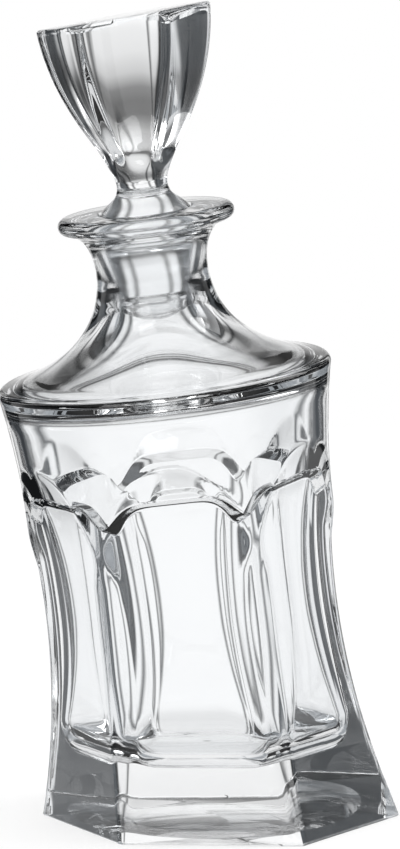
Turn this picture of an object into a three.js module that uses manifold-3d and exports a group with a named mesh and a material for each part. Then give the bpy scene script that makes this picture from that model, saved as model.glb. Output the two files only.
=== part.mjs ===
// Leaning six-sided glass decanter with a solid glass stopper, in millimetres, +Z up, standing on Z = 0.
// The whole form is one straight axis that leans towards -X. Heights are measured along that axis from the
// point where it meets the table, and radii are measured square to it. The foot is cut level by the table.
import * as THREE from 'three';
import { mergeVertices } from 'three/addons/utils/BufferGeometryUtils.js';
import Module from 'manifold-3d';

const wasm = await Module();
wasm.setup();

// Lean and sides
const leanAngle = THREE.MathUtils.degToRad(7.4);
const sideCount = 6;

// Body: corner radii from the foot to the shoulder
const footRadius = 59.8;
const waistRadius = 48.7;
const waistHeight = 75;
const pillarTopHeight = 90;
const bandRadius = 51.2;
const bandHeight = 105;
const shoulderRadius = 55.6;
const shoulderHeight = 150.5;
const shoulderRounding = 2.6;

// Windows: how deep each flat side is cut in from the round body, and the top of its arch
const footWindowDepth = 8;
const waistWindowDepth = 4.2;
const archHeight = 129;
const windowEdgeSoftness = 0.8;

// Neck and lip: radii, and heights above the shoulder
const neckRadius = 18.5;
const neckWaistRise = 37;
const mouthRise = 56.4;
const lipRadius = 29.3;
const lipThickness = 5.4;
const lipFlare = 3;
const lipSag = 1;

// Curve from the shoulder to the neck: how far each of its two pulls goes along the radius and the height
const shoulderPullRadius = 0.45;
const shoulderPullRise = 0.12;
const neckPullRise = 0.4;

// Glass: wall thickness, floor and the hollow under the foot
const bandWall = 5.2;
const waistWall = 11.5;
const footWall = 9;
const floorThickness = 22.5;
const floorRounding = 12;
const levelTopHeight = 75;
const hollowRadius = 38;
const hollowDepth = 2.4;

// Flat sides inside the hollow: their depth at the waist and how it grows, and the arches they end in
const hollowSideDepth = 1.7;
const hollowSideGrowth = 0.5;
const hollowSideSoftness = 2.5;
const hollowArchHeight = 117;
const hollowArchDrop = 16;
const hollowArchPower = 5;
const hollowLedge = 6;

// Neck bore under the ground seat, and the curve that leads up to it
const throatRadius = 12.4;
const throatRise = 13.5;
const shoulderInsideDrop = 3;
const insidePullRadius = 0.5;
const insidePullRise = 0.4;
const throatPullDrop = 0.2;

// Stopper: ground plug, skirt and waist
const plugTopRadius = 15.4;
const plugLength = 27.5;
const plugTaper = 0.15;
const plugRounding = 1;
const seatClearance = 0.3;
const seatBelowPlug = 1;
const plugTopDrop = 2.4;
const collarRadius = 9;
const collarRise = 5.8;
const collarStep = 1;
const collarHollow = 0.8;
const skirtTopPull = 0.3;
const skirtEndPull = 0.6;
const stemRadius = 8.4;
const stemRise = 8.6;
const stemFlare = 0.4;

// Stopper head: corner radii, height above the mouth, and its slanting top
const headRadius = 29.2;
const headRise = 64.3;
const headWindowDepth = 2.6;
const headWindowStart = 10;
const headWindowFull = 30;
const headEdgeSoftness = 1.2;
const bowlSpread = 0.6;
const bowlStartPull = 0.17;
const bowlEndPull = 0.45;
const bowlEndInset = 2;
const topSlant = THREE.MathUtils.degToRad(4.7);
const stopperTurn = THREE.MathUtils.degToRad(-8);

// Fineness of the round surfaces
const turnSegments = 48;
const curveSteps = 6;
const bodySteps = 15;
const hollowSteps = 24;
const mergeDistance = 1e-3;
const curveMargin = 0.5;

// Colour and finish
const glassColour = 0xf3f6f8;
const glassOpacity = 0.35;
const bottleRoughness = 0.02;
const stopperRoughness = 0.03;

const sideAngle = (2 * Math.PI) / sideCount;
const mouthHeight = shoulderHeight + mouthRise;
const footWindowDistance = footRadius - footWindowDepth;
const waistWindowDistance = waistRadius - waistWindowDepth;
const windowTopHeight = archHeight + windowEdgeSoftness;
const cutSize = 600;
const cutAllowance = 4;

// Radius of the body's corners at a height, before they run out into the band
function pillarRadius(height) {
  const rise = (height - waistHeight) / waistHeight;
  return waistRadius + (footRadius - waistRadius) * rise ** 2;
}

// Radius of the body's corners at a height
function bodyRadius(height) {
  const climb = Math.max(0, height - bandHeight) / (shoulderHeight - bandHeight);
  const band = bandRadius + (shoulderRadius - bandRadius) * climb ** 2;
  const share = THREE.MathUtils.smoothstep(height, pillarTopHeight, bandHeight);
  return THREE.MathUtils.lerp(pillarRadius(height), band, share);
}

// Distance from the axis to the middle of a window at a height; above the arch it lies outside the body
function windowDistance(height) {
  const below = Math.max(0, waistHeight - height) / waistHeight;
  const above = Math.max(0, height - waistHeight) / (archHeight - waistHeight);
  const flare = (footWindowDistance - waistWindowDistance) * below ** 2;
  return waistWindowDistance + flare + (bodyRadius(archHeight) - waistWindowDistance) * above ** 3;
}

// Radius of the corners of the six-sided lower part of the hollow at a height
function hollowCornerRadius(height) {
  const share = THREE.MathUtils.smoothstep(height, floorThickness, waistHeight);
  return pillarRadius(height) - THREE.MathUtils.lerp(footWall, waistWall, share);
}

// The smaller of two lengths, with a soft corner where they meet
function softMinimum(a, b, softness) {
  const overlap = Math.max(softness - Math.abs(a - b), 0) / softness;
  return Math.min(a, b) - (overlap ** 2 * softness) / 4;
}

// How far an angle is from the middle of the nearest side
function fromSideMiddle(angle) {
  return angle - Math.round(angle / sideAngle) * sideAngle;
}

// Radius at an angle where a round form is cut by a flat side at a distance from the axis
function sidedRadius(radius, distance, angle, softness) {
  return softMinimum(radius, distance / Math.cos(fromSideMiddle(angle)), softness);
}

function curvePoints(start, startPull, endPull, end) {
  const curve = new THREE.CubicBezierCurve(start, startPull, endPull, end);
  return curve.getPoints(curveSteps).slice(1);
}

function arcPoints(radius, height, size, fromAngle, toAngle) {
  const arc = new THREE.EllipseCurve(radius, height, size, size, fromAngle, toAngle, toAngle < fromAngle);
  return arc.getPoints(curveSteps);
}

// Turns an outline of (radius, height) points about +Z, then draws its sides in with a function
function turned(outline, drawnRadius = (radius) => radius) {
  const geometry = new THREE.LatheGeometry(outline, turnSegments);
  geometry.rotateX(Math.PI / 2);
  geometry.deleteAttribute('normal');
  geometry.deleteAttribute('uv');
  const place = geometry.getAttribute('position');
  for (let i = 0; i < place.count; i += 1) {
    const radius = Math.hypot(place.getX(i), place.getY(i));
    if (radius < mergeDistance) {
      place.setXYZ(i, 0, 0, place.getZ(i));
      continue;
    }
    const angle = Math.atan2(place.getY(i), place.getX(i));
    const drawn = drawnRadius(radius, place.getZ(i), angle);
    place.setXYZ(i, drawn * Math.cos(angle), drawn * Math.sin(angle), place.getZ(i));
  }
  return geometry;
}

// A closed geometry as a solid, without the flat triangles of its seam and poles
function asSolid(geometry) {
  const plain = geometry.clone();
  plain.deleteAttribute('normal');
  plain.deleteAttribute('uv');
  const merged = mergeVertices(plain, mergeDistance);
  const index = merged.getIndex().array;
  const corners = [];
  for (let i = 0; i < index.length; i += 3) {
    const [a, b, c] = [index[i], index[i + 1], index[i + 2]];
    if (a !== b && b !== c && c !== a) corners.push(a, b, c);
  }
  const vertProperties = new Float32Array(merged.getAttribute('position').array);
  return new wasm.Manifold(new wasm.Mesh({ numProp: 3, vertProperties, triVerts: new Uint32Array(corners) }));
}

function asGeometry(solid) {
  const mesh = solid.getMesh();
  const geometry = new THREE.BufferGeometry();
  geometry.setAttribute('position', new THREE.BufferAttribute(new Float32Array(mesh.vertProperties), 3));
  geometry.setIndex(new THREE.BufferAttribute(new Uint32Array(mesh.triVerts), 1));
  geometry.computeVertexNormals();
  return geometry;
}

function glass(roughness) {
  return new THREE.MeshStandardMaterial({
    color: glassColour, roughness, metalness: 0, transparent: true, opacity: glassOpacity,
  });
}

// Outside of the bottle, from below the table up to the mouth
function bottleOutline() {
  const startHeight = -footRadius * Math.tan(leanAngle) - cutAllowance;
  const points = [new THREE.Vector2(0, startHeight)];
  for (let step = 0; step <= bodySteps; step += 1) {
    const height = THREE.MathUtils.lerp(startHeight, shoulderHeight, step / bodySteps);
    points.push(new THREE.Vector2(bodyRadius(height), height));
  }
  const rimCentre = shoulderRadius - shoulderRounding;
  points.push(...arcPoints(rimCentre, shoulderHeight, shoulderRounding, 0, Math.PI / 2).slice(1));
  const rimTop = shoulderHeight + shoulderRounding;
  const neckWaist = new THREE.Vector2(neckRadius, shoulderHeight + neckWaistRise);
  points.push(...curvePoints(
    new THREE.Vector2(rimCentre, rimTop),
    new THREE.Vector2(
      neckRadius + shoulderPullRadius * (rimCentre - neckRadius),
      rimTop + shoulderPullRise * neckWaistRise,
    ),
    new THREE.Vector2(neckRadius, rimTop + neckPullRise * neckWaistRise),
    neckWaist,
  ));
  const lipHalf = lipThickness / 2;
  const lipCentre = new THREE.Vector2(lipRadius - lipHalf, mouthHeight - lipHalf);
  const lipUnderside = mouthHeight - lipThickness;
  points.push(...curvePoints(
    neckWaist,
    new THREE.Vector2(neckRadius, (neckWaist.y + lipUnderside) / 2),
    new THREE.Vector2(neckRadius + lipFlare, lipUnderside - lipSag),
    new THREE.Vector2(lipCentre.x, lipUnderside),
  ));
  points.push(...arcPoints(lipCentre.x, lipCentre.y, lipHalf, -Math.PI / 2, Math.PI / 2).slice(1));
  points.push(new THREE.Vector2(0, mouthHeight));
  return points;
}

// Radius of the ground plug at a height; the seat in the neck is wider by the clearance
function plugRadius(height) {
  return plugTopRadius - (mouthHeight - plugTopDrop - height) * plugTaper;
}

const plugBottomHeight = mouthHeight - plugTopDrop - plugLength;

// Hollow of the bottle, from its floor up through the mouth
function hollowOutline() {
  const lowest = floorThickness + floorRounding;
  const floorRadius = hollowCornerRadius(lowest) - floorRounding;
  const points = [new THREE.Vector2(0, floorThickness)];
  points.push(...arcPoints(floorRadius, lowest, floorRounding, -Math.PI / 2, 0));
  const highest = shoulderHeight - shoulderInsideDrop;
  for (let step = 1; step <= hollowSteps; step += 1) {
    const height = THREE.MathUtils.lerp(lowest, highest, step / hollowSteps);
    const radius = height < bandHeight ? hollowCornerRadius(height) : bodyRadius(height) - bandWall;
    points.push(new THREE.Vector2(radius, height));
  }
  const throatHeight = shoulderHeight + throatRise;
  const insideRadius = bodyRadius(highest) - bandWall;
  const seatStart = plugBottomHeight - seatBelowPlug;
  points.push(...curvePoints(
    new THREE.Vector2(insideRadius, highest),
    new THREE.Vector2(
      throatRadius + insidePullRadius * (insideRadius - throatRadius),
      highest + insidePullRise * throatRise,
    ),
    new THREE.Vector2(throatRadius, throatHeight - throatPullDrop * throatRise),
    new THREE.Vector2(throatRadius, seatStart),
  ));
  const above = mouthHeight + cutAllowance;
  points.push(new THREE.Vector2(plugRadius(seatStart) + seatClearance, seatStart));
  points.push(new THREE.Vector2(plugRadius(above) + seatClearance, above));
  points.push(new THREE.Vector2(0, above));
  return points;
}

// Radius of the hollow at an angle: six-sided below its arches, round above them
function hollowRadiusAt(radius, height, angle) {
  if (height > shoulderHeight - shoulderInsideDrop - curveMargin) return radius;
  const fromCorner = Math.abs(2 * fromSideMiddle(angle)) / sideAngle;
  const arch = hollowArchHeight - hollowArchDrop * fromCorner ** hollowArchPower;
  const share = THREE.MathUtils.smoothstep(height, arch - hollowLedge / 2, arch + hollowLedge / 2);
  const clear = Math.max(height, floorThickness + floorRounding);
  const corner = hollowCornerRadius(clear);
  const inset = height < clear ? corner - radius : 0;
  const deepening = hollowSideGrowth * (corner - (waistRadius - waistWall));
  const distance = corner - hollowSideDepth - deepening;
  const low = sidedRadius(corner - inset, distance - inset, angle, hollowSideSoftness);
  return THREE.MathUtils.lerp(low, bodyRadius(height) - bandWall, share);
}

// Tilts the floor of the hollow so that it lies level once the bottle leans
function levelFloor(geometry) {
  const place = geometry.getAttribute('position');
  for (let i = 0; i < place.count; i += 1) {
    const share = 1 - THREE.MathUtils.smoothstep(place.getZ(i), floorThickness, levelTopHeight);
    place.setZ(i, place.getZ(i) - share * place.getX(i) * Math.tan(leanAngle));
  }
}

// Everything below the table
function belowTable() {
  const box = new THREE.BoxGeometry(cutSize, cutSize, cutSize);
  box.translate(0, 0, -cutSize / 2);
  return asSolid(box);
}

// The shallow round hollow in the underside, so that the foot rests on its rim
function footHollow() {
  const ballRadius = (hollowRadius ** 2 + hollowDepth ** 2) / (2 * hollowDepth);
  const points = [new THREE.Vector2(0, -hollowDepth), new THREE.Vector2(hollowRadius, -hollowDepth)];
  for (let step = 0; step <= curveSteps; step += 1) {
    const radius = hollowRadius * (1 - step / curveSteps);
    const height = hollowDepth - ballRadius + Math.sqrt(ballRadius ** 2 - radius ** 2);
    points.push(new THREE.Vector2(radius, height));
  }
  return asSolid(turned(points));
}

function bottleGeometry() {
  const outside = turned(bottleOutline(), (radius, height, angle) => {
    if (height > windowTopHeight) return radius;
    return sidedRadius(radius, windowDistance(height), angle, windowEdgeSoftness);
  });
  const inside = turned(hollowOutline(), hollowRadiusAt);
  levelFloor(inside);
  outside.rotateY(-leanAngle);
  inside.rotateY(-leanAngle);
  const walls = asSolid(outside).subtract(asSolid(inside));
  return asGeometry(walls.subtract(belowTable()).subtract(footHollow()));
}

// Outline of the stopper, with heights above the mouth of the bottle
function stopperOutline() {
  const plugBottom = plugBottomHeight - mouthHeight;
  const plugTop = new THREE.Vector2(plugTopRadius, -plugTopDrop);
  const points = [
    new THREE.Vector2(0, plugBottom),
    new THREE.Vector2(plugRadius(plugBottomHeight) - plugRounding, plugBottom),
    new THREE.Vector2(plugRadius(plugBottomHeight + plugRounding), plugBottom + plugRounding),
    plugTop,
  ];
  points.push(...curvePoints(
    plugTop,
    new THREE.Vector2(plugTopRadius, skirtTopPull * collarRise),
    new THREE.Vector2(collarRadius + collarHollow, skirtEndPull * collarRise),
    new THREE.Vector2(collarRadius, collarRise),
  ));
  const stem = new THREE.Vector2(stemRadius, stemRise);
  points.push(new THREE.Vector2(stemRadius + stemFlare, collarRise + collarStep), stem);
  const bowl = headRise - stemRise;
  points.push(...curvePoints(
    stem,
    new THREE.Vector2(stemRadius + bowlSpread, stemRise + bowlStartPull * bowl),
    new THREE.Vector2(headRadius - bowlEndInset, stemRise + bowlEndPull * bowl),
    new THREE.Vector2(headRadius, headRise),
  ));
  const above = headRise + headRadius * Math.tan(topSlant) + cutAllowance;
  points.push(new THREE.Vector2(headRadius, above), new THREE.Vector2(0, above));
  return points;
}

// Distance from the axis to the middle of a side of the stopper's head
function headSideDistance(radius, height) {
  return radius - headWindowDepth * THREE.MathUtils.smoothstep(height, headWindowStart, headWindowFull);
}

function stopperGeometry() {
  const whole = turned(stopperOutline(), (radius, height, angle) => (
    height < headWindowStart ? radius
      : sidedRadius(radius, headSideDistance(radius, height), angle, headEdgeSoftness)
  ));
  const above = new THREE.BoxGeometry(cutSize, cutSize, cutSize);
  above.translate(0, 0, cutSize / 2);
  above.rotateY(-topSlant);
  above.rotateZ(-sideAngle);
  above.translate(0, 0, headRise);
  return asGeometry(asSolid(whole).subtract(asSolid(above)));
}

const bottle = new THREE.Mesh(bottleGeometry(), glass(bottleRoughness));
bottle.name = 'bottle';

const stopper = new THREE.Mesh(stopperGeometry(), glass(stopperRoughness));
stopper.name = 'stopper';
stopper.position.set(0, 0, mouthHeight);
stopper.rotation.z = stopperTurn;

const leaning = new THREE.Group();
leaning.rotation.y = -leanAngle;
leaning.add(stopper);

const decanter = new THREE.Group();
decanter.add(bottle, leaning);

// The decanter stands with the middle of its bounding box over the origin
const bounds = new THREE.Box3().setFromObject(decanter, true);
decanter.position.set(-(bounds.min.x + bounds.max.x) / 2, -(bounds.min.y + bounds.max.y) / 2, 0);

const group = new THREE.Group();
group.add(decanter);

export default group;
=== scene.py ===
"""Looks of a leaning six-sided glass decanter with its glass stopper.

It stands on a pale floor in soft studio light. Lengths are in millimetres, unless a comment says metres.
"""

import math
from types import SimpleNamespace

import bmesh
import bpy
from bpy.props import FloatProperty, FloatVectorProperty, IntProperty, PointerProperty
from mathutils import Matrix, Vector


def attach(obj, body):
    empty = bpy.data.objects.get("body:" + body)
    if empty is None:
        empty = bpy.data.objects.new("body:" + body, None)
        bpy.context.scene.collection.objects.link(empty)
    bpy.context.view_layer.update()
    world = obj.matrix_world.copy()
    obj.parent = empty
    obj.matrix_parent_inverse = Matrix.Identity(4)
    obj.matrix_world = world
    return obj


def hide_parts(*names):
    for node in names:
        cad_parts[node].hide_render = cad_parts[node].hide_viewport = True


bl_info = {
    "name": "Leaning decanter",
    "version": (1, 0, 0),
    "blender": (4, 5, 0),
    "location": "3D View > Sidebar > Decanter",
    "description": "Builds a leaning six-sided glass decanter, its stopper and a studio stage",
    "category": "Add Mesh",
}

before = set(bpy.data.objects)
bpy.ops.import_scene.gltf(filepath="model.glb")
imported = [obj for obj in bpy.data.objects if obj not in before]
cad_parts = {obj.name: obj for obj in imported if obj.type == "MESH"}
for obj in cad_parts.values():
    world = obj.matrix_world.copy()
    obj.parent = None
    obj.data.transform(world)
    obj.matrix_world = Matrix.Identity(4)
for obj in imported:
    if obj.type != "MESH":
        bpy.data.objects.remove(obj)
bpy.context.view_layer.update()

MM = 0.001
SIDE = math.radians(60)
CREASE = math.radians(28)

# Distances in metres: nearer than these, vertices are merged, or lie on the axis, a cut, the table or the rim
# of the foot's hollow
SPIN_MERGE = 1e-6
PART_MERGE = 1e-5
CUT_MARGIN = 1e-7
TABLE_MARGIN = 1e-5
FOOT_MARGIN = 1e-4

# Where the leaning axis meets the table, in metres, so that the whole decanter stands over the origin
FOOT_POINT = 0.0104138

# How far under the table the outside starts, because the lean lifts one side of its lower edge
UNDER_TABLE = 12

# Heights along the axis where the outside's curves change, and the rounding of the shoulder's rim
PILLAR_TOP = 90
BAND_HEIGHT = 105
NECK_WAIST = 187.5
SHOULDER_ROUNDING = 2.6

# Pulls of the curve from the shoulder's rim to the neck's waist, as a radius and a height, and as a height
NECK_START_PULL = (34, 157.5)
NECK_END_PULL = 168

# Pull of the curve under the lip: how far out from the neck and down from the lip
LIP_PULL = (3, 1)

# The hollow: rounding at its floor, and the height from which its rows lie square to the axis
FLOOR_ROUNDING = 12
LEVEL_TOP = 75

# Flat sides of the hollow: depth at the waist, its growth where the hollow is wider, and their soft corners
HOLLOW_SIDE_DEPTH = 1.7
HOLLOW_SIDE_GROWTH = 0.5
HOLLOW_SOFTNESS = 2.5

# The arches that the flat sides end in, and the height of the ledge there. The rounding of the arches takes
# most of their drop, and about 9 mm of it is left.
HOLLOW_ARCH = 117
HOLLOW_ARCH_DROP = 23
HOLLOW_ARCH_POWER = 6
HOLLOW_ARCH_ROUNDING = 0.15
LEDGE = 2

# Heights between which the hollow's rows lie close together, and between which they follow the arches
LEDGE_ZONE = (112, 122)
ARCH_ZONE = (55, 144)

# Inside of the shoulder: its height and rounding, and the roof's rise over it as a share of the rounding
SHOULDER_INSIDE = 147.5
SHOULDER_INSIDE_ROUNDING = 9
SHOULDER_INSIDE_RISE = 0.27

# Throat under the seat, and the pulls of the curve that leads up to it
THROAT_RADIUS = 12.4
THROAT = 176
THROAT_START_PULL = (30.7, 152.9)
THROAT_END_PULL = 161.3

# The shallow hollow under the foot
FOOT_HOLLOW = 38
FOOT_HOLLOW_DEPTH = 2.4

# The ground plug and its seat
PLUG_TOP = 15.4
PLUG_TOP_DROP = 2.4
PLUG_LENGTH = 27.5
PLUG_TAPER = 0.15
PLUG_ROUNDING = 1
SEAT_START = 180
SEAT_GAP = 0.3

# The stopper above its plug, as radii and heights over the mouth: the skirt's curve and the narrow stem
SKIRT = ((PLUG_TOP, -PLUG_TOP_DROP), (PLUG_TOP, 1.74), (9.8, 3.48), (9, 5.8))
STEM = ((8.8, 6.4), (8.5, 7.2), (8.4, 8.6))

# Pulls of the head's curve, the second one's radius as an inset, and the rows that the slanting cut trims
HEAD_START_PULL = (9, 18.069)
HEAD_END_PULL = (2, 33.665)
HEAD_SPARE_ROWS = (1.2, 2.7, 7.7)

# The flat sides of the stopper's head: where they start and reach full depth, and their flutes and ribs
SIDES_START = 10
SIDES_ZONE = (12, 22)
FLUTE_DEPTH = 1
RIB_SOFTNESS = 1

# Rows of faces along each stretch of the outlines
ROWS = SimpleNamespace(
    body=140, rim=10, neck=36, under_lip=16, lip=16, foot_hollow=12,
    floor=10, floor_curve=12, sides=56, ledge=24, band=16, shoulder=10, throat=26, seat=12,
    plug_end=6, plug_curve=6, plug=10, skirt=14, head=70,
)
BEVEL_ROWS = 4

# The glass. Its ground faces are looked for up to the margin outside the plug. Its waves are in metres.
GLASS_IOR = 1.52
GROUND_ROUGHNESS = 0.12
GROUND_MARGIN = 1
WAVES_PER_METRE = 45
WAVE_HEIGHT = 0.0003

MATH = "ShaderNodeMath"
VECTOR_MATH = "ShaderNodeVectorMath"


def lerp(a, b, share):
    return a + (b - a) * share


def spread(low, high, count):
    """Values at even steps from low to high, without the first."""
    return [lerp(low, high, step / count) for step in range(1, count + 1)]


def smooth(value, low, high):
    """0 below the low value and 1 above the high one, with a soft rise between them."""
    share = min(max((value - low) / (high - low), 0), 1)
    return share * share * (3 - 2 * share)


def in_mm(settings):
    """The settings by name, with their lengths in millimetres."""
    made = {}
    for name in settings.__annotations__:
        value = getattr(settings, name)
        made[name] = value / MM if settings.bl_rna.properties[name].unit == "LENGTH" else value
    return SimpleNamespace(**made)


def pillar_radius(size, height):
    """Radius of the body's corners before they run out into the band."""
    rise = (height - size.waist_height) / size.waist_height
    return size.waist_radius + (size.foot_radius - size.waist_radius) * rise**2


def body_radius(size, height):
    """Radius of the body's corners at a height along the leaning axis."""
    climb = max(0, height - BAND_HEIGHT) / (size.shoulder_height - BAND_HEIGHT)
    band = size.band_radius + (size.shoulder_radius - size.band_radius) * climb**2
    return lerp(pillar_radius(size, height), band, smooth(height, PILLAR_TOP, BAND_HEIGHT))


def window_distance(size, height):
    """Distance of a flat side from the axis; above its arch it lies outside the body."""
    below = max(0, size.waist_height - height) / size.waist_height
    above = max(0, height - size.waist_height) / (size.arch_height - size.waist_height)
    flare = (size.foot_window - size.waist_window) * below**2
    top = body_radius(size, size.arch_height)
    return size.waist_window + flare + (top - size.waist_window) * above**3


def hollow_corner(size, height):
    """Radius of the corners of the six-sided lower part of the hollow."""
    wall = lerp(size.foot_wall, size.waist_wall, smooth(height, size.floor_height, size.waist_height))
    return pillar_radius(size, height) - wall


def band_inside(size, height):
    """Radius of the round upper part of the hollow."""
    return body_radius(size, height) - size.band_wall


def soft_minimum(a, b, softness):
    """The smaller of two values, with a soft change from one to the other."""
    overlap = max(softness - abs(a - b), 0) / softness
    return min(a, b) - overlap**2 * softness / 4


def from_middle(angle):
    """How far an angle is from the middle of the nearest side."""
    return angle - round(angle / SIDE) * SIDE


def sided(radius, distance, angle, softness):
    """Radius at an angle of a round form cut by a flat side."""
    return soft_minimum(radius, distance / math.cos(from_middle(angle)), softness)


def bezier(points, count):
    """Points along a cubic curve, without its first."""
    a, b, c, d = (Vector(point) for point in points)
    made = []
    for step in range(1, count + 1):
        t = step / count
        s = 1 - t
        made.append(tuple(s**3 * a + 3 * s * s * t * b + 3 * s * t * t * c + t**3 * d))
    return made


def arc(centre, size, start, end, count):
    """Points along a circle's arc, its first one included."""
    turns = [math.radians(lerp(start, end, step / count)) for step in range(count + 1)]
    return [(centre[0] + size * math.cos(turn), centre[1] + size * math.sin(turn)) for turn in turns]


def turned(outline, steps):
    """A bmesh with the outline of (radius, height) points turned full circle about Z."""
    bm = bmesh.new()
    verts = [bm.verts.new((radius * MM, 0, height * MM)) for radius, height in outline]
    edges = [bm.edges.new(pair) for pair in zip(verts, verts[1:])]
    bmesh.ops.spin(
        bm, geom=verts + edges, cent=(0, 0, 0), axis=(0, 0, 1), dvec=(0, 0, 0),
        angle=2 * math.pi, steps=steps, use_merge=True,
    )
    bmesh.ops.remove_doubles(bm, verts=bm.verts, dist=SPIN_MERGE)
    return bm


def draw_in(bm, formula):
    """Moves each vertex square to the axis, to the radius that the formula gives."""
    for vert in bm.verts:
        radius = math.hypot(vert.co.x, vert.co.y)
        if radius < SPIN_MERGE:
            continue
        angle = math.atan2(vert.co.y, vert.co.x)
        share = formula(radius / MM, vert.co.z / MM, angle) * MM / radius
        vert.co.x *= share
        vert.co.y *= share


def add_part(bm, other):
    """Puts the geometry of another bmesh in this one."""
    mesh = bpy.data.meshes.new("part")
    other.to_mesh(mesh)
    other.free()
    bm.from_mesh(mesh)
    bpy.data.meshes.remove(mesh)


def bevel(bm, edges, width):
    """Rounds edges by a width in mm."""
    bmesh.ops.bevel(
        bm, geom=edges, offset=width * MM, segments=BEVEL_ROWS, profile=0.5, affect="EDGES", material=-1,
    )


def cut_off(bm, place, normal, **cleared):
    """Cuts a bmesh at a plane, clears one side of it and returns the cut's edges."""
    cut = bmesh.ops.bisect_plane(
        bm, geom=bm.verts[:] + bm.edges[:] + bm.faces[:], dist=CUT_MARGIN,
        plane_co=place, plane_no=normal, **cleared,
    )
    return [item for item in cut["geom_cut"] if isinstance(item, bmesh.types.BMEdge)]


def finished(bm, name, material):
    """Turns a bmesh into a smooth object over its place on the table, with crisp edges kept crisp."""
    bmesh.ops.translate(bm, verts=bm.verts, vec=(FOOT_POINT, 0, 0))
    bmesh.ops.recalc_face_normals(bm, faces=bm.faces)
    for face in bm.faces:
        face.smooth = True
    for edge in bm.edges:
        edge.smooth = edge.calc_face_angle(0) < CREASE
    mesh = bpy.data.meshes.new(name)
    bm.to_mesh(mesh)
    bm.free()
    mesh.materials.append(material)
    piece = bpy.data.objects.new(name, mesh)
    bpy.context.scene.collection.objects.link(piece)
    return piece


def seat_radius(size, height):
    """Radius of the ground seat, which is the plug's and the gap round it."""
    return PLUG_TOP - (size.mouth_height - PLUG_TOP_DROP - height) * PLUG_TAPER + SEAT_GAP


def bottle_outside(size):
    """Outline of the bottle's outside, from under the table to the mouth."""
    heights = [-UNDER_TABLE, *spread(-UNDER_TABLE, size.shoulder_height, ROWS.body)]
    points = [(body_radius(size, height), height) for height in heights]
    rim = size.shoulder_radius - SHOULDER_ROUNDING
    points += arc((rim, size.shoulder_height), SHOULDER_ROUNDING, 0, 90, ROWS.rim)[1:]
    rim_top = (rim, size.shoulder_height + SHOULDER_ROUNDING)
    neck = size.neck_radius
    neck_waist = (neck, NECK_WAIST)
    points += bezier([rim_top, NECK_START_PULL, (neck, NECK_END_PULL), neck_waist], ROWS.neck)
    under = size.mouth_height - size.lip_thickness
    half = size.lip_thickness / 2
    lip = size.lip_radius - half
    halfway = (neck, (NECK_WAIST + under) / 2)
    pull = (neck + LIP_PULL[0], under - LIP_PULL[1])
    points += bezier([neck_waist, halfway, pull, (lip, under)], ROWS.under_lip)
    points += arc((lip, size.mouth_height - half), half, -90, 90, ROWS.lip)[1:]
    points.append((seat_radius(size, size.mouth_height), size.mouth_height))
    return points


def bottle_inside(size):
    """Outline of the hollow, from the middle of its floor to the mouth."""
    lowest = size.floor_height + FLOOR_ROUNDING
    floor_radius = hollow_corner(size, lowest) - FLOOR_ROUNDING
    points = [(lerp(0, floor_radius, step / ROWS.floor), size.floor_height) for step in range(ROWS.floor)]
    points += arc((floor_radius, lowest), FLOOR_ROUNDING, -90, 0, ROWS.floor_curve)
    straight_top = SHOULDER_INSIDE - SHOULDER_INSIDE_ROUNDING
    heights = spread(lowest, LEDGE_ZONE[0], ROWS.sides)
    heights += spread(*LEDGE_ZONE, ROWS.ledge)
    heights += spread(LEDGE_ZONE[1], straight_top, ROWS.band)
    for height in heights:
        radius = hollow_corner(size, height) if height < BAND_HEIGHT else band_inside(size, height)
        points.append((radius, height))
    turn = (band_inside(size, SHOULDER_INSIDE), SHOULDER_INSIDE)
    roof_rise = SHOULDER_INSIDE_ROUNDING * SHOULDER_INSIDE_RISE
    roof = (turn[0] - SHOULDER_INSIDE_ROUNDING, SHOULDER_INSIDE + roof_rise)
    points += bezier([points[-1], turn, turn, roof], ROWS.shoulder)
    throat_pull = (THROAT_RADIUS, THROAT_END_PULL)
    points += bezier([roof, THROAT_START_PULL, throat_pull, (THROAT_RADIUS, THROAT)], ROWS.throat)
    for height in (SEAT_START, *spread(SEAT_START, size.mouth_height, ROWS.seat)):
        points.append((seat_radius(size, height), height))
    return points


def outside_radius(size, radius, height, angle):
    """Radius of the outside, cut by the windows up to their arches."""
    if height > size.arch_height + size.edge_softness:
        return radius
    return sided(radius, window_distance(size, height), angle, size.edge_softness)


def arch_drop(height, angle):
    """How far a row of the hollow sinks at an angle, so that the ledge's rows follow the arches."""
    to_corner = 1 - math.hypot(1 - 2 * abs(from_middle(angle)) / SIDE, HOLLOW_ARCH_ROUNDING)
    rising = smooth(height, ARCH_ZONE[0], HOLLOW_ARCH - LEDGE)
    fading = smooth(height, HOLLOW_ARCH + LEDGE, ARCH_ZONE[1])
    return HOLLOW_ARCH_DROP * max(to_corner, 0) ** HOLLOW_ARCH_POWER * rising * (1 - fading)


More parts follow.
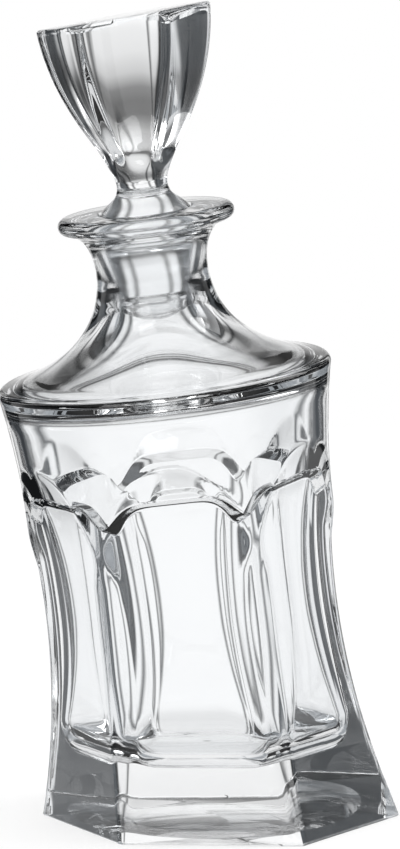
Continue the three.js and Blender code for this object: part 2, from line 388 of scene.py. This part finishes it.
def shape_hollow(size, bm):
    """Makes the turned hollow six-sided below its arches, and leaves it as it is inside the shoulder."""
    straight_top = (SHOULDER_INSIDE - SHOULDER_INSIDE_ROUNDING) * MM - PART_MERGE
    for vert in bm.verts:
        across = math.hypot(vert.co.x, vert.co.y)
        if vert.co.z > straight_top or across < SPIN_MERGE:
            continue
        row = vert.co.z / MM
        angle = math.atan2(vert.co.y, vert.co.x)
        height = row - arch_drop(row, angle)
        share = smooth(row, HOLLOW_ARCH - LEDGE / 2, HOLLOW_ARCH + LEDGE / 2)
        clear = max(height, size.floor_height + FLOOR_ROUNDING)
        corner = hollow_corner(size, clear)
        inset = corner - across / MM if height < clear else 0
        growth = HOLLOW_SIDE_GROWTH * (corner - (size.waist_radius - size.waist_wall))
        distance = corner - HOLLOW_SIDE_DEPTH - growth
        low = sided(corner - inset, distance - inset, angle, HOLLOW_SOFTNESS)
        placed = lerp(low, band_inside(size, height), share) * MM
        vert.co = (placed * math.cos(angle), placed * math.sin(angle), height * MM)


def foot_hollow(size):
    """The dome under the foot, a part of a large ball."""
    ball = (FOOT_HOLLOW**2 + FOOT_HOLLOW_DEPTH**2) / (2 * FOOT_HOLLOW_DEPTH)
    points = []
    for step in range(ROWS.foot_hollow + 1):
        radius = FOOT_HOLLOW * (1 - step / ROWS.foot_hollow)
        points.append((radius, FOOT_HOLLOW_DEPTH - ball + math.sqrt(ball**2 - radius**2)))
    return turned(points, size.columns)


def bottle_hollow(size):
    """The hollow upright, with its rows level at the floor once it leans."""
    bm = turned(bottle_inside(size), size.columns)
    shape_hollow(size, bm)
    for vert in bm.verts:
        share = 1 - smooth(vert.co.z / MM, size.floor_height, LEVEL_TOP)
        vert.co.z -= share * vert.co.x * math.tan(size.lean)
    return bm


def bottle_mesh(size):
    """The bottle's outside, cut level at the table, with the hollow under its foot and the one inside."""
    lean = Matrix.Rotation(-size.lean, 3, "Y")
    bm = turned(bottle_outside(size), size.columns)
    draw_in(bm, lambda radius, height, angle: outside_radius(size, radius, height, angle))
    bmesh.ops.rotate(bm, verts=bm.verts, cent=(0, 0, 0), matrix=lean)
    cut_off(bm, (0, 0, 0), (0, 0, 1), clear_inner=True)
    add_part(bm, foot_hollow(size))
    rim = [edge for edge in bm.edges if edge.is_boundary and abs(edge.verts[0].co.z) < TABLE_MARGIN]
    bmesh.ops.bridge_loops(bm, edges=rim)
    foot_edge = []
    for edge in rim:
        if edge.is_valid and edge.verts[0].co.xy.length > FOOT_HOLLOW * MM + FOOT_MARGIN:
            foot_edge.append(edge)
    bevel(bm, foot_edge, size.foot_bevel)
    inside = bottle_hollow(size)
    bmesh.ops.rotate(inside, verts=inside.verts, cent=(0, 0, 0), matrix=lean)
    add_part(bm, inside)
    bmesh.ops.remove_doubles(bm, verts=bm.verts, dist=PART_MERGE)
    return bm


def stopper_outline(size):
    """Outline of the stopper, from the middle of the plug's end to above the slanting top."""
    bottom = -PLUG_TOP_DROP - PLUG_LENGTH
    end = PLUG_TOP - PLUG_LENGTH * PLUG_TAPER - PLUG_ROUNDING
    points = [(lerp(0, end, step / ROWS.plug_end), bottom) for step in range(ROWS.plug_end + 1)]
    points += arc((end, bottom + PLUG_ROUNDING), PLUG_ROUNDING, -90, 0, ROWS.plug_curve)[1:]
    for height in spread(bottom + PLUG_ROUNDING, -PLUG_TOP_DROP, ROWS.plug):
        points.append((PLUG_TOP + (height + PLUG_TOP_DROP) * PLUG_TAPER, height))
    points += bezier(SKIRT, ROWS.skirt)
    points += STEM
    head = size.head_radius
    end_pull = (head - HEAD_END_PULL[0], HEAD_END_PULL[1])
    points += bezier([STEM[-1], HEAD_START_PULL, end_pull, (head, size.head_height)], ROWS.head)
    points += [(head, size.head_height + rise) for rise in HEAD_SPARE_ROWS]
    return points


def stopper_radius(size, radius, height, angle):
    """Radius of the stopper, its head cut by six hollowed sides with soft ribs between them."""
    if height < SIDES_START:
        return radius
    cut = smooth(height, *SIDES_ZONE)
    across = 2 * abs(from_middle(angle)) / SIDE
    hollowed = FLUTE_DEPTH * cut * (1 - across**2)
    distance = radius - size.facet_depth * cut - hollowed
    return sided(radius, distance, angle, RIB_SOFTNESS)


def stopper_mesh(size, bottle):
    """The stopper with its slanting top, turned in the neck and leaning with the bottle."""
    bm = turned(stopper_outline(size), size.columns)
    draw_in(bm, lambda radius, height, angle: stopper_radius(size, radius, height, angle))
    slant = Matrix.Rotation(-SIDE, 3, "Z") @ Matrix.Rotation(-size.top_slant, 3, "Y")
    middle = (0, 0, size.head_height * MM)
    rim = cut_off(bm, middle, slant @ Vector((0, 0, 1)), clear_outer=True)
    bmesh.ops.contextual_create(bm, geom=rim)
    bevel(bm, rim, size.top_bevel)
    turn = Matrix.Rotation(size.turn, 4, "Z")
    lift = Matrix.Translation((0, 0, bottle.mouth_height * MM))
    lean = Matrix.Rotation(-bottle.lean, 4, "Y")
    bmesh.ops.transform(bm, matrix=lean @ lift @ turn, verts=bm.verts)
    return bm


def worked_out(tree, kind, operation, *sources):
    """What a Math or Vector Math node makes of sockets or plain values, as a socket."""
    node = tree.nodes.new(kind)
    node.operation = operation
    for socket, source in zip(node.inputs, sources):
        if isinstance(source, bpy.types.NodeSocket):
            tree.links.new(source, socket)
        else:
            socket.default_value = source
    is_vector = kind == VECTOR_MATH and operation != "LENGTH"
    return node.outputs["Vector" if is_vector else "Value"]


def new_group(name, inputs, output):
    """A shader node group with number sockets of these names, and its input and output nodes."""
    group = bpy.data.node_groups.new(name, "ShaderNodeTree")
    for socket in inputs:
        group.interface.new_socket(socket, in_out="INPUT", socket_type="NodeSocketFloat")
    group.interface.new_socket(output, in_out="OUTPUT", socket_type="NodeSocketFloat")
    return group, group.nodes.new("NodeGroupInput"), group.nodes.new("NodeGroupOutput")


def waviness_group():
    """The faint unevenness of pressed glass, as a height; built once."""
    name = "Pressed glass waviness"
    if name in bpy.data.node_groups:
        return bpy.data.node_groups[name]
    group, given, made = new_group(name, ["Waves per metre"], "Height")
    coord = group.nodes.new("ShaderNodeTexCoord")
    noise = group.nodes.new("ShaderNodeTexNoise")
    noise.inputs["Detail"].default_value = 1
    noise.inputs["Roughness"].default_value = 0.4
    group.links.new(coord.outputs["Object"], noise.inputs["Vector"])
    group.links.new(given.outputs["Waves per metre"], noise.inputs["Scale"])
    group.links.new(noise.outputs["Fac"], made.inputs["Height"])
    return group


def ground_group():
    """Roughness on the ground faces of plug and seat, and 0 elsewhere; built once, with sizes in metres."""
    name = "Ground faces"
    if name in bpy.data.node_groups:
        return bpy.data.node_groups[name]
    inputs = ["Lean", "Lowest", "Highest", "Widest", "Ground roughness"]
    group, given, made = new_group(name, inputs, "Roughness")
    coord = group.nodes.new("ShaderNodeTexCoord")
    upright = group.nodes.new("ShaderNodeVectorRotate")
    upright.rotation_type = "Y_AXIS"
    upright.inputs["Center"].default_value = (FOOT_POINT, 0, 0)
    group.links.new(coord.outputs["Object"], upright.inputs["Vector"])
    group.links.new(given.outputs["Lean"], upright.inputs["Angle"])
    centred = worked_out(group, VECTOR_MATH, "SUBTRACT", upright.outputs[0], (FOOT_POINT, 0, 0))
    flat = worked_out(group, VECTOR_MATH, "MULTIPLY", centred, (1, 1, 0))
    reach = worked_out(group, VECTOR_MATH, "LENGTH", flat)
    split = group.nodes.new("ShaderNodeSeparateXYZ")
    group.links.new(centred, split.inputs[0])
    above = worked_out(group, MATH, "GREATER_THAN", split.outputs["Z"], given.outputs["Lowest"])
    below = worked_out(group, MATH, "LESS_THAN", split.outputs["Z"], given.outputs["Highest"])
    within = worked_out(group, MATH, "LESS_THAN", reach, given.outputs["Widest"])
    between = worked_out(group, MATH, "MULTIPLY", above, below)
    share = worked_out(group, MATH, "MULTIPLY", between, within)
    roughness = worked_out(group, MATH, "MULTIPLY", share, given.outputs["Ground roughness"])
    group.links.new(roughness, made.inputs["Roughness"])
    return group


def placed_group(material, group, values):
    """A node group placed in a material, with values for its inputs."""
    node = material.node_tree.nodes.new("ShaderNodeGroup")
    node.node_tree = group
    for name, value in values.items():
        node.inputs[name].default_value = value
    return node


def glass_material(name, settings, bottle):
    """Clear crystal glass, with the waviness that pressing leaves and finely ground plug and seat."""
    material = bpy.data.materials.new(name)
    material.use_nodes = True
    nodes, links = material.node_tree.nodes, material.node_tree.links
    shader = nodes["Principled BSDF"]
    shader.inputs["Base Color"].default_value = (*settings.glass_colour, 1)
    shader.inputs["IOR"].default_value = GLASS_IOR
    shader.inputs["Transmission Weight"].default_value = 1
    ground = placed_group(material, ground_group(), {
        "Lean": bottle.lean,
        "Lowest": bottle.mouth_height - (PLUG_TOP_DROP + PLUG_LENGTH - PLUG_ROUNDING) * MM,
        "Highest": bottle.mouth_height - PLUG_TOP_DROP * MM,
        "Widest": (PLUG_TOP + GROUND_MARGIN) * MM,
        "Ground roughness": GROUND_ROUGHNESS,
    })
    links.new(ground.outputs["Roughness"], shader.inputs["Roughness"])
    waves = placed_group(material, waviness_group(), {"Waves per metre": WAVES_PER_METRE})
    bump = nodes.new("ShaderNodeBump")
    bump.inputs["Strength"].default_value = settings.waviness
    bump.inputs["Distance"].default_value = WAVE_HEIGHT
    links.new(waves.outputs["Height"], bump.inputs["Height"])
    links.new(bump.outputs["Normal"], shader.inputs["Normal"])
    return material


def length(name, text, value):
    """A length setting with its value in mm."""
    return FloatProperty(
        name=name, description=text, default=value * MM, min=0, subtype="DISTANCE", unit="LENGTH",
    )


def tilt(name, text, value):
    """An angle setting with its value in degrees."""
    return FloatProperty(
        name=name, description=text, default=math.radians(value), subtype="ANGLE", unit="ROTATION",
    )


def facets(text, value):
    """A setting for how many facets go round a piece."""
    return IntProperty(name="Columns", description=text, default=value, min=48, max=360)


def colour(name, text, value):
    """A colour setting."""
    return FloatVectorProperty(
        name=name, description=text, default=value, size=3, min=0, max=1, subtype="COLOR",
    )


def glass_tint():
    """The colour setting that bottle and stopper both have."""
    return colour("Glass colour", "Tint of the clear glass", (0.98, 0.988, 0.995))


def glass_waves():
    """The waviness setting that bottle and stopper both have."""
    return FloatProperty(
        name="Waviness", description="Strength of the unevenness of the pressed glass", default=0.35,
        min=0, max=1, subtype="FACTOR",
    )


class BottleSettings(bpy.types.PropertyGroup):
    """Sizes and colour of the bottle"""

    lean: tilt("Lean", "Angle of the body's axis from upright", 7.4)
    foot_radius: length("Foot radius", "Corner radius of the foot on the table", 59.8)
    waist_radius: length("Waist radius", "Corner radius at the waist", 48.7)
    waist_height: length("Waist height", "Height of the waist along the axis", 75)
    band_radius: length("Band radius", "Radius of the round band above the windows", 51.2)
    shoulder_radius: length("Shoulder radius", "Radius of the shoulder's rim", 55.57)
    shoulder_height: length("Shoulder height", "Height of the shoulder's rim along the axis", 150.5)
    foot_window: length("Foot side distance", "Distance of a flat side from the axis on the table", 51.8)
    waist_window: length("Waist side distance", "Distance of a flat side from the axis at the waist", 44.5)
    arch_height: length("Arch height", "Height of the top of the windows' arches", 129)
    edge_softness: length("Edge softness", "Softness of the windows' edges", 0.4)
    neck_radius: length("Neck radius", "Outside radius of the neck's waist", 18.5)
    lip_radius: length("Lip radius", "Radius of the lip", 29.3)
    lip_thickness: length("Lip thickness", "Thickness of the lip", 5.4)
    mouth_height: length("Mouth height", "Height of the mouth along the axis", 206.9)
    band_wall: length("Band wall", "Thickness of the glass in the band", 5.2)
    waist_wall: length("Waist wall", "Thickness of the glass in the corners at the waist", 11.5)
    foot_wall: length("Foot wall", "Thickness of the glass in the corners at the floor", 9)
    floor_height: length("Floor height", "Thickness of the glass under the drink", 22.5)
    foot_bevel: length("Foot bevel", "Rounding of the foot's edge on the table", 0.6)
    columns: facets("Facets around the bottle", 240)
    glass_colour: glass_tint()
    waviness: glass_waves()


class StopperSettings(bpy.types.PropertyGroup):
    """Sizes and colour of the stopper"""

    head_radius: length("Head radius", "Corner radius of the head", 29.2)
    head_height: length("Head height", "Height of the middle of its top above the mouth", 64.3)
    facet_depth: length("Facet depth", "Depth of the flat sides of the head", 2)
    top_slant: tilt("Top slant", "Angle of the top from square to the axis", 4.7)
    turn: tilt("Turn", "How far the stopper stands turned in the neck", -8)
    top_bevel: length("Top bevel", "Rounding of the top's rim", 1.2)
    columns: facets("Facets around the stopper", 180)
    glass_colour: glass_tint()
    waviness: glass_waves()


class StageSettings(bpy.types.PropertyGroup):
    """Light, floor and camera"""

    floor_colour: colour("Floor colour", "Colour of the floor", (0.9, 0.9, 0.9))
    lamp_power: FloatProperty(
        name="Lamp power", description="Power of each soft lamp", default=4, min=0,
        subtype="POWER", unit="POWER",
    )
    focal_length: FloatProperty(
        name="Focal length", description="Focal length of the camera's lens in mm", default=191.55, min=1,
        subtype="DISTANCE_CAMERA", unit="CAMERA",
    )


class DECANTER_OT_bottle(bpy.types.Operator):
    """Build the leaning glass bottle"""

    bl_idname = "decanter.bottle"
    bl_label = "Bottle"

    def execute(self, context):
        settings = context.scene.decanter_bottle
        glass = glass_material("Bottle glass", settings, settings)
        piece = finished(bottle_mesh(in_mm(settings)), "glass_bottle", glass)
        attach(piece, "bottle_body")
        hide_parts("bottle")
        return {"FINISHED"}


class DECANTER_OT_stopper(bpy.types.Operator):
    """Build the solid glass stopper"""

    bl_idname = "decanter.stopper"
    bl_label = "Stopper"

    def execute(self, context):
        settings = context.scene.decanter_stopper
        bottle = context.scene.decanter_bottle
        glass = glass_material("Stopper glass", settings, bottle)
        piece = finished(stopper_mesh(in_mm(settings), in_mm(bottle)), "glass_stopper", glass)
        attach(piece, "stopper_body")
        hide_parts("stopper")
        return {"FINISHED"}


# Light round the object, as reflections and the glass show it: turn from the way the camera looks, in
# degrees, and brightness. White behind the object and grey or black beside it give clear glass its lines.
SURROUND = (
    (-180, 1), (-120, 0.9), (-100, 0.4), (-67, 0.4), (-62, 0.85), (-50, 0.85), (-46, 0.06), (-34, 0.05),
    (-30, 0.12), (-28, 0.02), (-24, 0.02), (-21, 1), (-16, 1), (-13, 0.03), (-10, 1),
    (10, 1), (13, 0.03), (16, 1), (20, 1), (23, 0.02), (27, 0.02), (29, 0.12), (46, 0.06),
    (50, 0.85), (62, 0.85), (67, 0.4), (100, 0.4), (120, 0.9), (180, 1),
)
SURROUND_TURN = math.radians(28.7)

# How much bluer than neutral the middle greys are
SURROUND_TINT = 0.1

# Angle above the horizon, in degrees, and what the brightness above is multiplied by there
SURROUND_HEIGHT = (
    (-90, 0.9), (-30, 0.8), (-14, 1), (2, 1), (5, 0.85), (10, 0.8), (15, 0.6), (19, 0.22),
    (23, 0.14), (28, 0.14), (34, 0.5), (45, 0.8), (90, 0.9),
)

# Floor and lamps, in metres; the floor's own glow keeps it pale
FLOOR_RADIUS = 1.2
FLOOR_SEGMENTS = 64
FLOOR_ROUGHNESS = 0.8
FLOOR_GLOW = 1.1
FLOOR_GLOW_SHARE = 0.5
LAMPS = {"Left lamp": (-0.9, -0.5, 0.8), "Right lamp": (0.9, -0.3, 0.9)}
LAMP_SIZE = 0.7
LAMP_AIM = Vector((0, 0, 0.14))

# Camera: its turn about the foot's point, distance from it and height in metres, the way it looks, and the
# width of its sensor
CAMERA_AZIMUTH = math.radians(28.659)
CAMERA_DISTANCE = 1.5
CAMERA_HEIGHT = 0.2972
CAMERA_YAW = math.radians(28.456)
CAMERA_PITCH = math.radians(6.265)
SENSOR_WIDTH = 36


def light_ramp(nodes, values, tint=0):
    """A ramp of greys from (position, brightness) pairs, its middle greys a little blue."""
    ramp = nodes.new("ShaderNodeValToRGB")
    stops = ramp.color_ramp.elements
    for position, light in values[1:-1]:
        stops.new(position)
    for stop, (position, light) in zip(stops, values):
        stop.position = position
        blue = tint * light * (1 - light)
        stop.color = (light - blue, light, light + blue, 1)
    return ramp


def stage_world():
    """Plain white for the camera and for matt surfaces, and the surround for glass and reflections."""
    world = bpy.data.worlds.new("Studio")
    bpy.context.scene.world = world
    world.use_nodes = True
    tree = world.node_tree
    nodes, links = tree.nodes, tree.links
    coord = nodes.new("ShaderNodeTexCoord")
    place = nodes.new("ShaderNodeMapping")
    place.vector_type = "VECTOR"
    place.inputs["Rotation"].default_value = (0, 0, SURROUND_TURN)
    links.new(coord.outputs["Generated"], place.inputs["Vector"])
    split = nodes.new("ShaderNodeSeparateXYZ")
    links.new(place.outputs[0], split.inputs[0])
    turn = worked_out(tree, MATH, "ARCTAN2", split.outputs["X"], split.outputs["Y"])
    share = nodes.new("ShaderNodeMapRange")
    share.inputs["From Min"].default_value = -math.pi
    share.inputs["From Max"].default_value = math.pi
    links.new(turn, share.inputs["Value"])
    around = light_ramp(nodes, [((angle + 180) / 360, light) for angle, light in SURROUND], SURROUND_TINT)
    links.new(share.outputs[0], around.inputs["Fac"])
    rise = nodes.new("ShaderNodeMapRange")
    rise.inputs["From Min"].default_value = -1
    links.new(split.outputs["Z"], rise.inputs["Value"])
    by_height = [((1 + math.sin(math.radians(angle))) / 2, light) for angle, light in SURROUND_HEIGHT]
    upward = light_ramp(nodes, by_height)
    links.new(rise.outputs[0], upward.inputs["Fac"])
    colours = (around.outputs["Color"], upward.outputs["Color"])
    surround = worked_out(tree, VECTOR_MATH, "MULTIPLY", *colours)
    path = nodes.new("ShaderNodeLightPath")
    rays = (path.outputs["Is Camera Ray"], path.outputs["Is Diffuse Ray"])
    plain = worked_out(tree, MATH, "MAXIMUM", *rays)
    light = nodes.new("ShaderNodeMixRGB")
    light.inputs["Color2"].default_value = (1, 1, 1, 1)
    links.new(plain, light.inputs["Fac"])
    links.new(surround, light.inputs["Color1"])
    links.new(light.outputs["Color"], nodes["Background"].inputs["Color"])


def floor_material(settings):
    """Pale and matt, and clear to glass and reflections."""
    material = bpy.data.materials.new("Pale floor")
    material.use_nodes = True
    tree = material.node_tree
    nodes, links = tree.nodes, tree.links
    shader = nodes["Principled BSDF"]
    shader.inputs["Base Color"].default_value = (*settings.floor_colour, 1)
    shader.inputs["Roughness"].default_value = FLOOR_ROUGHNESS
    shader.inputs["Specular IOR Level"].default_value = 0
    glow = nodes.new("ShaderNodeEmission")
    glow.inputs["Strength"].default_value = FLOOR_GLOW
    pale = nodes.new("ShaderNodeMixShader")
    pale.inputs[0].default_value = FLOOR_GLOW_SHARE
    links.new(shader.outputs[0], pale.inputs[1])
    links.new(glow.outputs[0], pale.inputs[2])
    path = nodes.new("ShaderNodeLightPath")
    rays = (path.outputs["Is Glossy Ray"], path.outputs["Is Transmission Ray"])
    by_glass = worked_out(tree, MATH, "MAXIMUM", *rays)
    clear = nodes.new("ShaderNodeBsdfTransparent")
    surface = nodes.new("ShaderNodeMixShader")
    links.new(by_glass, surface.inputs[0])
    links.new(pale.outputs[0], surface.inputs[1])
    links.new(clear.outputs[0], surface.inputs[2])
    links.new(surface.outputs[0], nodes["Material Output"].inputs["Surface"])
    return material


def stage_floor(settings):
    """A pale round floor; glass and reflections show the surround in its place."""
    bm = bmesh.new()
    bmesh.ops.create_circle(bm, cap_ends=True, segments=FLOOR_SEGMENTS, radius=FLOOR_RADIUS)
    mesh = bpy.data.meshes.new("floor")
    bm.to_mesh(mesh)
    bm.free()
    mesh.materials.append(floor_material(settings))
    floor = bpy.data.objects.new("floor", mesh)
    bpy.context.scene.collection.objects.link(floor)


def stage_lamp(name, place, power):
    """A soft square lamp that faces the middle of the decanter."""
    data = bpy.data.lights.new(name, "AREA")
    data.shape = "SQUARE"
    data.size = LAMP_SIZE
    data.energy = power
    lamp = bpy.data.objects.new(name, data)
    bpy.context.scene.collection.objects.link(lamp)
    lamp.location = place
    lamp.rotation_euler = (LAMP_AIM - Vector(place)).to_track_quat("-Z", "Y").to_euler()


def stage_camera(settings):
    """The camera at the photograph's viewing angle."""
    data = bpy.data.cameras.new("Camera")
    data.sensor_width = SENSOR_WIDTH
    data.lens = settings.focal_length
    camera = bpy.data.objects.new("Camera", data)
    bpy.context.scene.collection.objects.link(camera)
    camera.location = (
        FOOT_POINT - CAMERA_DISTANCE * math.sin(CAMERA_AZIMUTH),
        -CAMERA_DISTANCE * math.cos(CAMERA_AZIMUTH),
        CAMERA_HEIGHT,
    )
    level = math.cos(CAMERA_PITCH)
    forward = Vector((math.sin(CAMERA_YAW) * level, math.cos(CAMERA_YAW) * level, -math.sin(CAMERA_PITCH)))
    camera.rotation_euler = forward.to_track_quat("-Z", "Y").to_euler()
    bpy.context.scene.camera = camera


class DECANTER_OT_stage(bpy.types.Operator):
    """Build the floor, the light and the camera"""

    bl_idname = "decanter.stage"
    bl_label = "Stage"

    def execute(self, context):
        settings = context.scene.decanter_stage
        context.scene.view_settings.view_transform = "Standard"
        stage_world()
        stage_floor(settings)
        for name, place in LAMPS.items():
            stage_lamp(name, place, settings.lamp_power)
        stage_camera(settings)
        return {"FINISHED"}


class DECANTER_PT_sidebar(bpy.types.Panel):
    """The decanter's settings and steps"""

    bl_idname = "DECANTER_PT_sidebar"
    bl_label = "Leaning decanter"
    bl_space_type = "VIEW_3D"
    bl_region_type = "UI"
    bl_category = "Decanter"

    def draw(self, context):
        for operator, group in STEPS:
            box = self.layout.box()
            settings = getattr(context.scene, group)
            for name in settings.__annotations__:
                box.prop(settings, name)
            box.operator(operator.bl_idname)


STEPS = (
    (DECANTER_OT_bottle, "decanter_bottle"),
    (DECANTER_OT_stopper, "decanter_stopper"),
    (DECANTER_OT_stage, "decanter_stage"),
)
GROUPS = {
    "decanter_bottle": BottleSettings,
    "decanter_stopper": StopperSettings,
    "decanter_stage": StageSettings,
}
CLASSES = (
    BottleSettings,
    StopperSettings,
    StageSettings,
    DECANTER_OT_bottle,
    DECANTER_OT_stopper,
    DECANTER_OT_stage,
    DECANTER_PT_sidebar,
)


def register():
    for cls in CLASSES:
        bpy.utils.register_class(cls)
    for name, group in GROUPS.items():
        setattr(bpy.types.Scene, name, PointerProperty(type=group))


def unregister():
    for name in GROUPS:
        delattr(bpy.types.Scene, name)
    for cls in reversed(CLASSES):
        bpy.utils.unregister_class(cls)


def main():
    """Builds the pieces and the stage."""
    register()
    bpy.ops.decanter.bottle()
    bpy.ops.decanter.stopper()
    bpy.ops.decanter.stage()


if __name__ == "__main__":
    main()
